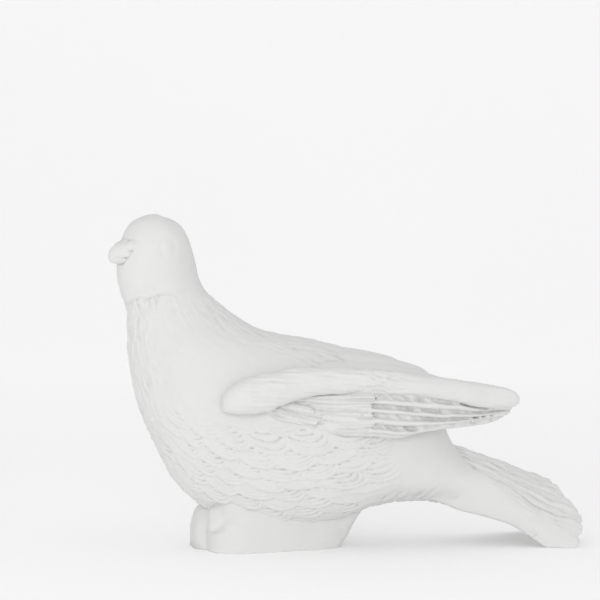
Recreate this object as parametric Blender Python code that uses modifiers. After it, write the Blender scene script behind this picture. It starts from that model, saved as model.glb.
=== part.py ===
"""Dove statue cast in one with its low plinth.

Frame: metres, +Z up, the beak towards -X, the tail towards +X, the bird's left side towards -Y.
The origin is the middle of the plinth's flat underside.  The figure is laid out in shares of
its length, so LENGTH drives every size.  Each part of the figure is a numpy surface on a grid
of two parameters; the closed surfaces are fused by a voxel remesh into one solid.
"""
import math

import bmesh
import bpy
import numpy as np
from mathutils import Matrix

# Driving dimensions, metres
LENGTH = 0.300
SHARE = LENGTH / 100.0
VOXEL = 0.0014
TRIANGLES = 9600

# Head, shares of the length
HEAD_X = -24.0
HEAD_Z = 60.3
HEAD_TURN = math.radians(24.0)
BEAK_REACH = 10.8
CAP_STEP = 0.28

# Relief heights, shares of the length
SCALE_STEP = 0.62
WING_STEP = 0.42
TAIL_STEP = 0.42

# Wings
WING_SPREAD = 18.4
WING_TIP_SPREAD = 16.2
SHEET_SINK = 2.2

# Plinth, metres
PLINTH_LENGTH = 0.083
PLINTH_WIDTH = 0.056
PLINTH_REAR_WIDTH = 0.031
PLINTH_REACH = 0.0265
PLINTH_LEAN = 0.62
PLINTH_CORNER = 0.42
FAR_FOOT_AHEAD = 0.0065
FAR_FOOT_WIDTH = 0.033
FAR_FOOT_HEIGHT = 0.029
CUT_DEPTH = 0.006
PLINTH_FRONT = -PLINTH_LENGTH / 2

# Rows of the trunk from the crown to the inside of the tail: front x, front z, back x, back z,
# half width, fullness towards the front, how far the row follows the head's turn
TRUNK = (
    (-25.0, 67.60, -23.2, 67.62, 0.9, 0.0, 1.0),
    (-26.9, 66.95, -21.3, 67.10, 2.7, 0.0, 1.0),
    (-28.8, 65.90, -19.6, 66.30, 4.2, 0.0, 1.0),
    (-30.0, 64.20, -18.3, 65.00, 5.5, 0.0, 1.0),
    (-30.9, 62.20, -17.2, 63.00, 6.2, 0.0, 1.0),
    (-31.6, 59.80, -16.2, 60.60, 6.5, 0.0, 1.0),
    (-31.8, 57.40, -15.4, 58.00, 6.6, 0.0, 1.0),
    (-31.6, 54.90, -14.8, 55.40, 6.6, 0.0, 0.9),
    (-30.8, 52.10, -13.6, 52.80, 6.7, 0.0, 0.7),
    (-29.9, 48.90, -11.0, 50.00, 7.2, 0.0, 0.4),
    (-29.6, 44.90, -7.1, 47.00, 8.6, 0.0, 0.15),
    (-29.5, 40.40, -2.1, 44.40, 10.6, 0.0, 0.0),
    (-28.9, 35.60, 3.6, 43.30, 12.6, 0.02, 0.0),
    (-27.7, 30.40, 9.0, 42.30, 14.2, 0.05, 0.0),
    (-25.6, 24.80, 14.3, 41.00, 15.3, 0.08, 0.0),
    (-22.9, 19.20, 19.0, 39.90, 15.9, 0.10, 0.0),
    (-19.8, 13.90, 23.9, 38.50, 16.0, 0.10, 0.0),
    (-14.9, 9.30, 28.4, 36.80, 15.8, 0.10, 0.0),
    (-7.8, 6.10, 32.0, 35.00, 15.2, 0.08, 0.0),
    (-0.6, 4.50, 34.6, 32.40, 14.4, 0.05, 0.0),
    (5.9, 4.40, 35.6, 29.20, 13.4, 0.02, 0.0),
    (12.2, 5.60, 36.2, 25.60, 12.4, 0.0, 0.0),
    (18.6, 7.60, 37.2, 22.20, 11.4, 0.0, 0.0),
    (25.0, 8.60, 39.2, 19.50, 10.4, 0.0, 0.0),
    (31.4, 8.60, 42.6, 17.90, 9.4, 0.0, 0.0),
    (37.0, 8.40, 45.4, 16.20, 8.4, 0.0, 0.0),
)

# Rows of the wing's leading band: x, top z, bottom z, half thickness, share of the wing's spread
BAND = (
    (-13.45, 30.6, 29.8, 0.5, 0.86),
    (-13.1, 32.0, 28.9, 1.7, 0.89),
    (-12.0, 33.4, 28.5, 2.6, 0.92),
    (-10.0, 34.8, 28.3, 3.1, 0.96),
    (-7.0, 35.9, 28.3, 3.2, 0.99),
    (-3.5, 36.7, 29.2, 3.1, 1.0),
    (0.5, 37.2, 30.8, 2.9, 1.0),
    (5.0, 37.5, 31.8, 2.7, 1.0),
    (10.0, 37.5, 32.2, 2.6, 1.0),
    (16.0, 37.1, 32.5, 2.5, 1.0),
    (22.0, 36.3, 32.0, 2.4, 1.0),
    (27.5, 35.6, 31.2, 2.2, 1.0),
    (33.0, 34.9, 30.4, 2.0, 1.0),
    (38.0, 34.2, 29.3, 1.8, 1.0),
    (43.0, 33.4, 28.7, 1.5, 1.0),
    (46.2, 32.5, 28.8, 1.1, 1.0),
    (47.6, 31.1, 29.6, 0.5, 1.0),
)

# Rows of the wing's sheet of feathers: x, bottom z, inward lean of the bottom edge
SHEET = (
    (-5.0, 29.2, 0.6),
    (-3.2, 27.6, 1.0),
    (0.0, 26.2, 1.4),
    (4.0, 25.2, 1.8),
    (9.0, 24.1, 2.0),
    (13.0, 23.5, 2.1),
    (18.0, 23.4, 2.2),
    (23.0, 23.0, 2.3),
    (27.0, 23.9, 2.5),
    (32.0, 24.5, 2.9),
    (37.0, 24.8, 4.0),
    (41.6, 25.3, 4.8),
    (44.8, 26.1, 4.8),
    (46.4, 27.4, 3.6),
)

# Rows of the tail: x, ridge z, half width, edge between top and side z, lower corner z, middle
# of the underside z
TAIL = (
    (28.0, 20.0, 4.0, 16.0, 11.6, 12.0),
    (33.0, 20.8, 6.4, 16.0, 9.4, 9.8),
    (38.0, 19.6, 8.0, 14.8, 7.0, 7.6),
    (43.0, 18.1, 9.2, 12.9, 5.9, 6.6),
    (48.0, 16.4, 10.8, 9.6, 4.2, 5.8),
    (51.5, 15.1, 12.0, 6.9, 2.2, 5.2),
    (54.0, 14.2, 12.9, 5.0, 0.3, 4.8),
    (57.0, 13.3, 13.8, 3.2, -0.9, 4.4),
    (60.0, 12.0, 14.6, 2.4, -0.9, 4.0),
    (65.0, 9.2, 15.4, 2.2, -0.9, 3.6),
)

# Where the tail's end reaches at shares of the way from its ridge to its outer corner
TAIL_END = ((0.0, 60.9), (0.12, 61.4), (0.3, 62.8), (0.5, 63.6), (0.7, 62.9), (0.88, 61.0), (1.0, 59.4))
TAIL_FEATHERS = 5
TAIL_NOTCH = 1.1
TAIL_SIDE = 0.84
TAIL_ROLL = 2.4

# Mass that joins the wing to the flank: x, y, z, half width, half height, roll
WING_ROOT = (
    (-8.5, -13.2, 31.2, 1.0, 1.0, 0),
    (-7.0, -13.2, 31.4, 2.2, 2.4, 0),
    (-3.0, -13.0, 31.8, 2.8, 3.4, 0),
    (3.0, -12.8, 31.8, 3.0, 3.8, 0),
    (12.0, -12.6, 31.2, 3.6, 4.2, 0),
    (22.0, -12.4, 30.6, 4.0, 4.0, 0),
    (29.0, -12.4, 30.2, 4.6, 3.2, 0),
    (33.5, -12.6, 30.0, 3.4, 2.2, 0),
    (35.0, -12.6, 30.0, 1.0, 0.8, 0),
)

# Cape feathers beside the back: x of root and tip, height, distance out, half width, drop
CAPE = (
    (4.0, 28.2, 39.2, 3.6, 3.4, 3.4),
    (8.0, 33.4, 38.0, 6.4, 3.4, 4.6),
    (11.0, 37.0, 36.2, 9.2, 3.2, 5.0),
    (12.0, 39.0, 34.6, 12.4, 2.8, 3.0),
    (3.0, 20.0, 36.4, 9.8, 3.6, 1.0),
)

# Groups of short feathers on the wing's sheet: x of root and end, middle and half of the depth
COVERTS = (
    (5.5, 17.2, 0.80, 0.24),
    (1.5, 17.2, 0.38, 0.24),
    (-4.5, 6.8, 0.66, 0.27),
)
LONG_FEATHERS = 5


def spline(points, count):
    """Smooth curve through the rows of points, read at count even steps."""
    points = np.asarray(points, float)
    padded = np.vstack([2 * points[0] - points[1], points, 2 * points[-1] - points[-2]])
    at = np.linspace(0, len(points) - 1, count)
    index = np.minimum(at.astype(int), len(points) - 2)
    part = (at - index)[:, None]
    before, start, end, after = (padded[index + step] for step in range(4))
    line = 2 * start + (end - before) * part
    bend = (2 * before - 5 * start + 4 * end - after) * part ** 2
    twist = (3 * start - before - 3 * end + after) * part ** 3
    return 0.5 * (line + bend + twist)


def ease(low, high, value):
    """Smooth step from 0 at low to 1 at high."""
    share = np.clip((value - low) / (high - low), 0.0, 1.0)
    return share * share * (3 - 2 * share)


def noise(across, along, period, seed):
    """Smooth random heights from -1 to 1, repeating after period steps across."""
    lattice = np.random.default_rng(seed).uniform(-1, 1, (period, 97))
    column = np.floor(across).astype(int)
    row = np.floor(along).astype(int)
    right = ease(0, 1, across - column)
    down = ease(0, 1, along - row)
    here = lattice[column % period, row % 97]
    beside = lattice[(column + 1) % period, row % 97]
    below = lattice[column % period, (row + 1) % 97]
    corner = lattice[(column + 1) % period, (row + 1) % 97]
    top = here + (beside - here) * right
    return top + (below + (corner - below) * right - top) * down


def outward(grid):
    """Unit normals of a closed grid, pointing out of it."""
    along = np.gradient(grid, axis=0)
    around = np.roll(grid, -1, axis=1) - np.roll(grid, 1, axis=1)
    normal = np.cross(around, along)
    size = np.linalg.norm(normal, axis=2, keepdims=True)
    normal = normal / np.maximum(size, 1e-9)
    middle = grid.mean(axis=1, keepdims=True)
    if np.sum(normal * (grid - middle)) < 0:
        normal = -normal
    return normal


def feathers(rows, lanes):
    """Overlapping rounded feathers: height rising to each tip, and the distance to the edge."""
    height = np.zeros_like(rows)
    edge = np.zeros_like(rows)
    taken = np.zeros(rows.shape, bool)
    for behind in (2, 1, 0):
        start = np.floor(rows) - behind
        along = rows - start
        across = lanes - 0.5 * np.mod(start, 2)
        across = across - np.floor(across + 0.5)
        tip = 1.2 + 0.8 * np.sqrt(np.clip(1 - (across / 0.52) ** 2, 0, 1))
        inside = (along < tip) & ~taken
        height = np.where(inside, along / 2, height)
        edge = np.where(inside, tip - along, edge)
        taken |= inside
    return height, edge


def shell(grid):
    """Closed mesh of a grid whose rows are closed loops, with a point at each end."""
    rows, columns = grid.shape[:2]
    points = np.vstack([grid.reshape(-1, 3), grid[:1].mean(axis=1), grid[-1:].mean(axis=1)])
    index = np.arange(rows * columns).reshape(rows, columns)
    beside = np.roll(index, -1, axis=1)
    quads = np.stack([index[:-1], beside[:-1], beside[1:], index[1:]], axis=-1).reshape(-1, 4)
    first = rows * columns
    start = np.stack([beside[0], index[0], np.full(columns, first)], axis=-1)
    end = np.stack([index[-1], beside[-1], np.full(columns, first + 1)], axis=-1)
    faces = [tuple(face) for face in np.concatenate([quads]).tolist()]
    faces += [tuple(face) for face in np.concatenate([start, end]).tolist()]
    return points, faces


def turned(points, share):
    """Turns points about the neck's upright line by a share of the head's turn."""
    angle = HEAD_TURN * share
    x = points[..., 0] - HEAD_X
    y = points[..., 1]
    away_x = HEAD_X + x * np.cos(angle) - y * np.sin(angle)
    away_y = x * np.sin(angle) + y * np.cos(angle)
    return np.stack([away_x, away_y, points[..., 2]], axis=-1)


def trunk(rows=300, columns=264):
    """Head, neck and body: slanting rings between the front line and the back line."""
    ring = spline(TRUNK, rows)
    angle = np.linspace(0, 2 * math.pi, columns, endpoint=False)[None, :]
    front = ring[:, None, 0:2]
    back = ring[:, None, 2:4]
    half = (back - front) / 2
    middle = (back + front) / 2
    flat = middle - half * np.cos(angle)[..., None]
    side = -ring[:, 4:5] * np.sin(angle) * (1 + ring[:, 5:6] * np.cos(angle))
    grid = np.stack([flat[..., 0], side, flat[..., 1]], axis=-1)
    grid = turned(grid, ring[:, 6:7])

    centre = middle[:, 0]
    length = np.concatenate([[0], np.cumsum(np.linalg.norm(np.diff(centre, axis=0), axis=1))])
    pace = np.interp(length, [0, 18, 34, 52, 75], [2.2, 2.6, 4.2, 5.0, 4.0])
    count = np.concatenate([[0], np.cumsum(np.diff(length) / pace[1:])])[:, None]
    wander = 0.22 * noise(angle / (2 * math.pi) * 11, count * 0.7 + 0 * angle, 11, 3)
    lanes = angle / (2 * math.pi) * 13 + wander
    lift, edge = feathers(count + wander + 0 * angle, lanes)
    strokes = noise(angle / (2 * math.pi) * 72, count * 0.9 + 0 * angle, 72, 5)
    on_breast = np.clip(np.cos(angle), 0, 1) * ease(14, 26, length)[:, None]
    body = ease(24, 40, length)[:, None] * (1 - 0.55 * on_breast)
    above_plinth = ease(0.9, 1.0, np.cos(angle)) * ease(44, 50, length)[:, None]
    relief = SCALE_STEP * body * (1 - above_plinth) * lift
    relief = relief + 0.10 * ease(16, 22, length)[:, None] * strokes

    hem = 15.2 + 0.5 * np.sin(angle * 5 + 0.6) + 0.35 * np.sin(angle * 9)
    relief = relief + CAP_STEP * (1 - ease(-0.25, 0.25, length[:, None] - hem))
    return grid + outward(grid) * relief[..., None]


def oval(stations, count=60, columns=48, power=2.0):
    """Tube along x: rows of centre x, y, z, half width across y, half height, roll in radians."""
    line = spline(stations, count)
    angle = np.linspace(0, 2 * math.pi, columns, endpoint=False)[None, :]
    wide = np.sign(np.cos(angle)) * np.abs(np.cos(angle)) ** (2 / power)
    high = np.sign(np.sin(angle)) * np.abs(np.sin(angle)) ** (2 / power)
    wide = wide * line[:, 3:4]
    high = high * line[:, 4:5]
    roll = line[:, 5:6]
    y = line[:, 1:2] + wide * np.cos(roll) - high * np.sin(roll)
    z = line[:, 2:3] + wide * np.sin(roll) + high * np.cos(roll)
    x = line[:, 0:1] + 0 * y
    return np.stack([x, y, z], axis=-1)


def ball(centre, radii, pitch=0.0):
    """Matrix that makes the unit sphere an ellipsoid, its length tipped by pitch in the side view."""
    tip = Matrix.Rotation(-pitch, 4, "Y")
    size = Matrix.Diagonal((*radii, 1.0))
    return Matrix.Scale(SHARE, 4) @ Matrix.Translation(centre) @ tip @ size


def with_head(matrix):
    """The same matrix turned with the head about the neck's upright line."""
    axis = Matrix.Translation((HEAD_X * SHARE, 0, 0))
    return axis @ Matrix.Rotation(HEAD_TURN, 4, "Z") @ axis.inverted() @ matrix


def beak():
    """Short blunt beak that comes out of the turned head."""
    tip = HEAD_X - BEAK_REACH
    return turned(oval((
        (tip + 6.2, 0, HEAD_Z + 0.1, 2.7, 2.8, 0),
        (tip + 4.4, 0, HEAD_Z - 0.1, 2.35, 2.5, 0),
        (tip + 2.8, 0, HEAD_Z - 0.3, 1.95, 2.15, 0),
        (tip + 1.5, 0, HEAD_Z - 0.6, 1.6, 1.8, 0),
        (tip + 0.6, 0, HEAD_Z - 0.9, 1.1, 1.35, 0),
        (tip + 0.15, 0, HEAD_Z - 1.1, 0.6, 0.8, 0),
        (tip, 0, HEAD_Z - 1.2, 0.2, 0.25, 0),
    ), 70, 64, 2.2), 1.0)


def lumps():
    """Eyes, cere, nape tuft and toes: ellipsoids that the remesh fuses with the figure."""
    front = PLINTH_FRONT / SHARE
    ahead = FAR_FOOT_AHEAD / SHARE
    made = [
        ball((-11.3, -0.6, 49.55), (1.9, 1.5, 0.5), -0.72),
        ball((-11.9, -7.4, 6.7), (3.4, 2.5, 1.7), 0.7),
        ball((-12.6, -6.8, 8.0), (1.9, 2.2, 1.7)),
        ball((-8.5, -5.0, 9.6), (4.4, 4.0, 2.6), 0.3),
        ball((front - ahead + 4.2, 1.2, 7.0), (3.2, 2.1, 2.5), 0.6),
        ball((front - ahead + 4.6, 5.4, 6.8), (3.2, 2.1, 2.5), 0.6),
    ]
    for side in (-1, 1):
        made.append(with_head(ball((HEAD_X - 1.9, side * 5.4, HEAD_Z + 1.5), (1.45, 1.0, 1.75))))
        made.append(with_head(ball((HEAD_X - 6.9, side * 1.35, HEAD_Z + 1.35), (1.5, 0.95, 0.85), 0.15)))
    return made


def spread_at(x):
    """How far the wing's middle stands from the bird's middle plane."""
    return WING_SPREAD + (WING_TIP_SPREAD - WING_SPREAD) * ease(18, 46, x)


def wing():
    """Near wing: thick leading band, hanging sheet of feathers, root mass, cape feathers."""
    band = np.asarray(BAND, float)
    spread = spread_at(band[:, 0]) * band[:, 4]
    middle = (band[:, 1] + band[:, 2]) / 2
    height = (band[:, 1] - band[:, 2]) / 2
    lean = 0.35 * ease(34, 42, band[:, 0])
    bar = oval(np.stack([band[:, 0], -spread, middle, band[:, 3], height, lean], axis=-1), 150, 56, 2.2)

    sheet = spline(SHEET, 220)
    down = np.linspace(0, 1, 60)[None, :]
    x = sheet[:, 0:1] + 0 * down
    top = np.interp(x, band[:, 0], middle)
    z = top + (sheet[:, 1:2] - top) * down
    out = np.interp(x, band[:, 0], spread)
    sink = SHEET_SINK * (1 - ease(3, 15, x))
    outer = out + 0.2 - (sheet[:, 2:3] + 0.2) * down - sink * (1 - 0.35 * down)
    thick = np.interp(x, [0, 34, 40, 46], [2.4, 2.2, 1.7, 1.4])
    inner = outer - thick * (1 - 0.4 * down)
    outer = outer + WING_STEP * wing_relief(x, down)
    turn = np.clip((down - 0.88) / 0.12, 0, 1)
    pinch = 0.8 * (1 - np.sqrt(1 - turn ** 2))
    centre = (outer + inner) / 2
    outer = outer + (centre - outer) * pinch
    inner = inner + (centre - inner) * pinch
    near = np.stack([x, -outer, z], axis=-1)
    far = np.stack([x, -inner, z], axis=-1)[:, ::-1]
    plate = np.concatenate([near, far], axis=1)
    root = oval(WING_ROOT, 90, 48)
    return [bar, plate, root] + [cape_feather(*row) for row in CAPE]


def cape_feather(start, end, height, away, half, drop):
    """One long rounded feather of the cape, from the shoulder back to its tip."""
    roll = 0.45
    return oval((
        (start, -away, height + 0.4, 0.5, 0.4, roll),
        (start + 2, -away, height + 0.4, 0.9 * half, 1.5, roll),
        ((start + end) / 2, -away, height - 0.2 * drop, half, 1.8, roll),
        (end - 4.0, -away, height - 0.62 * drop, 0.92 * half, 1.5, roll),
        (end - 1.4, -away, height - 0.92 * drop, 0.66 * half, 1.15, roll),
        (end - 0.3, -away, height - drop, 0.3 * half, 0.8, roll),
        (end, -away, height - drop, 0.1 * half, 0.4, roll),
    ), 80, 44)


def wing_relief(x, down):
    """Feather rows on the sheet: groups with rounded ends at the front, long feathers behind."""
    lane = np.clip(down, 0.2, 0.999) * LONG_FEATHERS
    height = 1 - np.abs(2 * (lane - np.floor(lane)) - 0.7) ** 1.5
    for start, end, middle, half in COVERTS:
        off = (down - middle) / half
        reach = end - 3.2 * off ** 2
        ramp = np.clip((x - start) / (end - start), 0, 1)
        rows = np.cos(3 * math.pi * off)
        inside = ease(0.0, 0.5, reach - x) * ease(0.0, 0.15, 1.05 - np.abs(off))
        height = height + (1.2 + 1.1 * ramp + 0.3 * rows - height) * inside
    return height * ease(0.06, 0.2, down)


def tail(rows=150, columns=140):
    """Roof-shaped tail: feathers side by side on top, plain sides, arched underside.

    It rolls a little, so that only its near corner touches the ground.
    """
    share = np.linspace(0, 1, rows)[:, None]
    across = np.linspace(-1, 1, columns)[None, :]
    away = np.abs(across)
    end_at = np.asarray(TAIL_END, float)
    reach = np.interp(away, end_at[:, 0], end_at[:, 1])
    lane = np.clip(away / TAIL_SIDE, 0, 0.999) * TAIL_FEATHERS
    between_lanes = np.abs(2 * (lane - np.floor(lane)) - 1)
    reach = reach - TAIL_NOTCH * between_lanes ** 3 * (away < TAIL_SIDE)
    table = np.asarray(TAIL, float)
    x = table[0, 0] + share * (reach - table[0, 0])
    ridge, half, edge, corner, under = (np.interp(x, table[:, 0], table[:, k]) for k in range(1, 6))

    on_top = np.clip(away / TAIL_SIDE, 0, 1)
    on_side = np.clip((away - TAIL_SIDE) / (1 - TAIL_SIDE), 0, 1)
    y = 0.97 * half * on_top
    top_z = ridge + (edge - ridge) * (0.35 * on_top + 0.65 * on_top ** 2.2)
    y = y + (half - y) * on_side
    z = top_z + (corner - top_z) * on_side
    crown = 1 - np.abs(2 * (lane - np.floor(lane)) - 0.8) ** 1.6
    z = z + TAIL_STEP * crown * (1 - ease(0, 0.05, on_side)) * ease(0.1, 0.35, share)
    low_y = (half - 0.8) * away
    low_z = under + (corner - under) * away ** 2
    low_z = np.minimum(low_z, top_z - 2.2)
    low_z = low_z + (corner - low_z) * ease(0.8, 1.0, away)
    fade = ease(0.94, 1.0, share)
    middle = (z + low_z) / 2
    z = z + 0.5 * (middle - z) * fade
    low_z = low_z + 0.5 * (middle - low_z) * fade
    side = np.sign(across)
    roll = TAIL_ROLL * np.clip(across, 0, 1) * ease(44, 57, x)
    z = z + roll
    low_z = low_z + roll
    upper = np.stack([x, y * side, z], axis=-1)
    lower = np.stack([x, low_y * side, low_z], axis=-1)[:, ::-1]
    return np.concatenate([upper, lower], axis=1)


def boxy(angle):
    """Cosine and sine of a squared-off circle."""
    cos = np.cos(angle)
    sin = np.sin(angle)
    across = np.sign(cos) * np.abs(cos) ** PLINTH_CORNER
    return across, np.sign(sin) * np.abs(sin) ** PLINTH_CORNER


def plinth(rows=60, columns=160):
    """Low block under the breast, wide at the front, its rear face leaning out to the top."""
    across, beside = boxy(np.linspace(0, 2 * math.pi, columns, endpoint=False)[None, :])
    level = np.linspace(-CUT_DEPTH, PLINTH_REACH, rows)[:, None]
    rear = PLINTH_FRONT + PLINTH_LENGTH + PLINTH_LEAN * np.clip(level, 0, None)
    middle = (rear + PLINTH_FRONT) / 2
    x = middle + (rear - PLINTH_FRONT) / 2 * across
    widths = (PLINTH_WIDTH * 0.96, PLINTH_WIDTH, PLINTH_WIDTH * 0.8, PLINTH_REAR_WIDTH)
    at = PLINTH_FRONT + PLINTH_LENGTH * np.array((0.0, 0.25, 0.58, 1.0))
    half = np.interp(x, at, widths) / 2
    return np.stack([x, half * beside, level + 0 * x], axis=-1) / SHARE


def far_foot(rows=60, columns=160):
    """Block under the right foot, a step ahead of the plinth's front."""
    across, beside = boxy(np.linspace(0, 2 * math.pi, columns, endpoint=False)[None, :])
    level = np.linspace(-CUT_DEPTH, FAR_FOOT_HEIGHT, rows)[:, None]
    rise = level / FAR_FOOT_HEIGHT
    squeeze = 1 - 0.08 * ease(0.48, 0.62, rise) - 0.5 * ease(0.62, 1.05, rise) ** 2
    reach = FAR_FOOT_AHEAD + 0.010
    x = PLINTH_FRONT + 0.010 + reach * across * squeeze
    y = 0.34 * FAR_FOOT_WIDTH + FAR_FOOT_WIDTH / 2 * beside * squeeze
    return np.stack([x, y, level + 0 * x], axis=-1) / SHARE


def mirrored(grid):
    """The same grid on the bird's other side, its rows turned round to stay outward."""
    return (grid * np.array([1, -1, 1]))[:, ::-1]


def shells():
    """Every closed grid of the figure and the plinth, in shares of the length."""
    wings = wing()
    wings += [mirrored(grid) for grid in wings]
    return [trunk(), tail(), beak(), plinth(), far_foot()] + wings


def joined(grids, matrices, name):
    """One mesh of all the closed grids and the ellipsoids, not yet fused."""
    points = []
    faces = []
    offset = 0
    for grid in grids:
        some, flat = shell(grid)
        points.append(some * SHARE)
        faces += [tuple(corner + offset for corner in face) for face in flat]
        offset += len(some)
    mesh = bpy.data.meshes.new(name)
    mesh.from_pydata(np.vstack(points).tolist(), [], faces)
    work = bmesh.new()
    work.from_mesh(mesh)
    for matrix in matrices:
        bmesh.ops.create_uvsphere(work, u_segments=48, v_segments=32, radius=1.0, matrix=matrix)
    work.to_mesh(mesh)
    work.free()
    return mesh


def applied(thing):
    """Mesh of the object with its modifiers carried out."""
    graph = bpy.context.evaluated_depsgraph_get()
    graph.update()
    result = bpy.data.meshes.new_from_object(thing.evaluated_get(graph), depsgraph=graph)
    thing.modifiers.clear()
    old = thing.data
    thing.data = result
    bpy.data.meshes.remove(old)
    return result


def cut_flat(mesh, height):
    """Removes what lies below the height and closes the cut with one flat face."""
    work = bmesh.new()
    work.from_mesh(mesh)
    everything = work.verts[:] + work.edges[:] + work.faces[:]
    bmesh.ops.bisect_plane(work, geom=everything, dist=1e-6, plane_co=(0, 0, height),
                           plane_no=(0, 0, -1), clear_outer=True)
    rim = [edge for edge in work.edges if edge.is_boundary]
    bmesh.ops.holes_fill(work, edges=rim, sides=0)
    bmesh.ops.triangulate(work, faces=work.faces[:])
    bmesh.ops.dissolve_degenerate(work, edges=work.edges[:], dist=1e-5)
    for vert in work.verts:
        vert.co = [round(value, 7) for value in vert.co]
    bmesh.ops.recalc_face_normals(work, faces=work.faces[:])
    work.to_mesh(mesh)
    work.free()
    mesh.update()


def material(name, colour, roughness):
    made = bpy.data.materials.new(name)
    made.use_nodes = True
    shader = made.node_tree.nodes["Principled BSDF"]
    shader.inputs["Base Color"].default_value = (*colour, 1.0)
    shader.inputs["Roughness"].default_value = roughness
    shader.inputs["Metallic"].default_value = 0.0
    made.diffuse_color = (*colour, 1.0)
    return made


def build():
    for thing in list(bpy.data.objects):
        bpy.data.objects.remove(thing, do_unlink=True)
    home = bpy.data.collections.new("dove_statue")
    bpy.context.scene.collection.children.link(home)
    dove = bpy.data.objects.new("dove", joined(shells(), lumps(), "dove"))
    home.objects.link(dove)

    fuse = dove.modifiers.new("fuse", "REMESH")
    fuse.mode = "VOXEL"
    fuse.voxel_size = VOXEL
    fuse.adaptivity = 0.0
    mesh = applied(dove)
    soften = dove.modifiers.new("soften", "SMOOTH")
    soften.factor = 0.5
    soften.iterations = 1
    mesh = applied(dove)
    cut_flat(mesh, 0.0)

    thin = dove.modifiers.new("thin", "DECIMATE")
    thin.ratio = TRIANGLES / len(mesh.polygons)
    mesh = applied(dove)
    mesh.materials.clear()
    mesh.materials.append(material("white_stone", (0.86, 0.86, 0.85), 0.85))


build()
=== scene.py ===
"""Looks of the dove statue: fine carving, white stone finish, studio and camera.

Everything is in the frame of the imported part: metres, +Z up, beak towards -X, the bird's left
side towards -Y.  The figure is laid out in shares of its length, as the part itself is, and each
carved surface is a function of two parameters on a grid, computed as whole arrays.
"""
import math

import bmesh
import bpy
import numpy as np
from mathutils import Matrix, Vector


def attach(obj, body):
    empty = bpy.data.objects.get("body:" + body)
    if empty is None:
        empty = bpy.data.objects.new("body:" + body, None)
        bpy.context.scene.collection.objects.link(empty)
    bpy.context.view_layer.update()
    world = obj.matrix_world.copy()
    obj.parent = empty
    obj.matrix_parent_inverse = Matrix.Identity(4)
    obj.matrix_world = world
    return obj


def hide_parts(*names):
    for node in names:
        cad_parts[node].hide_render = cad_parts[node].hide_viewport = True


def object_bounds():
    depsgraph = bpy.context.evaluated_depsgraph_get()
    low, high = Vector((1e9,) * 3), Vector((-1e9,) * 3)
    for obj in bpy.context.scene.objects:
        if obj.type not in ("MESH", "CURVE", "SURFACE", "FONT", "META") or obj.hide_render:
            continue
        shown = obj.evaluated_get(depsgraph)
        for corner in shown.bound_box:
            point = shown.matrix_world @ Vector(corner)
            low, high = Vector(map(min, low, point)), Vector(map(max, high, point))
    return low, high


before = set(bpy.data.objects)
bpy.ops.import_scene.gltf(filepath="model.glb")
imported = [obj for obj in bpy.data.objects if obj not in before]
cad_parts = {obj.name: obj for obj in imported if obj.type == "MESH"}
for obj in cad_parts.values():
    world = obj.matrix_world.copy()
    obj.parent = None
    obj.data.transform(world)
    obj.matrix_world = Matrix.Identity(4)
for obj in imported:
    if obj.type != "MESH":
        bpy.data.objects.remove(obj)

bl_info = {
    "name": "Dove Statue",
    "version": (1, 0, 0),
    "blender": (4, 5, 0),
    "location": "3D View > Sidebar > Dove",
    "description": "Builds a carved white dove with its plinth, its stone finish and a studio",
    "category": "Add Mesh",
}

CAD_BOX = [[float(value) for value in corner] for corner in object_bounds()]
NODE = "dove"
BODY = "root"

# Head before it turns: x of the neck's upright line, height of the beak, its reach ahead of that
# line, and the eye's x, distance from the middle and z
HEAD_X = -24.0
HEAD_Z = 60.3
BEAK_REACH = 10.8
EYE = (-25.0, 6.1, 60.9)

# Way down from the crown to the cap's hem at the throat, and half of the hem's rise to the nape
HEM_DOWN = 17.1
HEM_RISE = 1.5

# Distance between the rows of the body feathers and between the feathers of a row
SCALE_ROWS = 3.3
SCALE_LANES = 7.8

# Lower line of the belly in front of the tail: x, z
BELLY = ((12, 5.8), (25, 8.6), (37, 7.9))

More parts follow.
